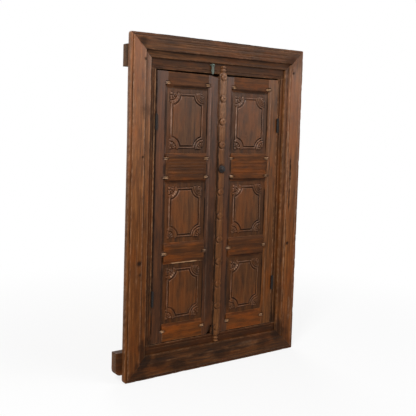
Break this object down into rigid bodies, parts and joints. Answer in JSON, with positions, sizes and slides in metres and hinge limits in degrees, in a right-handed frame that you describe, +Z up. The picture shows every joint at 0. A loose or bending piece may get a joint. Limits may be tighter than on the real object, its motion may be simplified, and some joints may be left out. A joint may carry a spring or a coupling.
{
  "type": "shuttered wall mirror",
  "caption": "Wall mirror made from an old teak window: moulded mitred frame, a pair of carved panelled shutter leaves on butt hinges, a bossed strip over their joint and glass behind.",
  "frame": {"origin": "centre of the backing board's rear face, on the wall, halfway up and across the moulded frame", "axes": "-Y is the front that the viewer sees, +Y points into the wall, +Z is up and +X is to the viewer's right"},
  "size_m": [0.866, 0.064, 1.28],
  "materials": {
    "board_teak": "old waxed teak with a low sheen",
    "timber_teak": "darker weathered teak",
    "leaf_teak": "purple-brown teak, rubbed with age",
    "panel_teak": "carved teak, waxed",
    "strip_teak": "paler teak, worn by hands",
    "backing_ply": "raw thin plywood",
    "silvered_glass": "silvered float glass",
    "black_iron": "forged iron, dark and dull",
    "green_painted_iron": "thin worn blue-green paint on iron",
    "zinc_steel": "zinc-plated steel"
  },
  "bodies": {
    "frame": {"left_board": "board_teak", "right_board": "board_teak", "top_board": "board_teak", "bottom_board": "board_teak", "lintel": "timber_teak", "sill": "timber_teak", "left_jamb": "timber_teak", "right_jamb": "timber_teak", "left_top_peg": "strip_teak", "left_bottom_peg": "strip_teak", "right_top_peg": "strip_teak", "right_bottom_peg": "strip_teak", "mirror_glass": "silvered_glass", "backing_board": "backing_ply", "left_hanging_plate": "zinc_steel", "right_hanging_plate": "zinc_steel", "left_upper_hinge_jamb_plate": "black_iron", "left_upper_hinge_pin": "black_iron", "left_lower_hinge_jamb_plate": "black_iron", "left_lower_hinge_pin": "black_iron", "right_upper_hinge_jamb_plate": "black_iron", "right_upper_hinge_pin": "black_iron", "right_lower_hinge_jamb_plate": "black_iron", "right_lower_hinge_pin": "black_iron", "hasp_staple": "green_painted_iron"},
    "left_leaf": {"left_hanging_stile": "leaf_teak", "left_meeting_stile": "leaf_teak", "left_top_rail": "leaf_teak", "left_upper_rail": "leaf_teak", "left_lower_rail": "leaf_teak", "left_bottom_rail": "leaf_teak", "left_top_panel": "panel_teak", "left_middle_panel": "panel_teak", "left_bottom_panel": "panel_teak", "left_upper_hinge_leaf_plate": "black_iron", "left_lower_hinge_leaf_plate": "black_iron"},
    "right_leaf": {"right_hanging_stile": "leaf_teak", "right_meeting_stile": "leaf_teak", "right_top_rail": "leaf_teak", "right_upper_rail": "leaf_teak", "right_lower_rail": "leaf_teak", "right_bottom_rail": "leaf_teak", "right_top_panel": "panel_teak", "right_middle_panel": "panel_teak", "right_bottom_panel": "panel_teak", "astragal": "strip_teak", "pull_knob": "black_iron", "right_upper_hinge_leaf_plate": "black_iron", "right_lower_hinge_leaf_plate": "black_iron"},
    "hasp": {"hasp": "green_painted_iron"}
  },
  "joints": [
    {"name": "left_leaf_hinge", "type": "hinge", "parent": "frame", "child": "left_leaf", "pos_m": [-0.29525, -0.0424, 0], "axis": [0, 0, -1], "range_deg": [0, 150]},
    {"name": "right_leaf_hinge", "type": "hinge", "parent": "frame", "child": "right_leaf", "pos_m": [0.29525, -0.0424, 0], "axis": [0, 0, 1], "range_deg": [0, 150]},
    {"name": "hasp_swing", "type": "hinge", "parent": "frame", "child": "hasp", "pos_m": [-0.047, -0.0429, 0.5475], "axis": [-1, 0, 0], "range_deg": [-5, 120]}
  ]
}
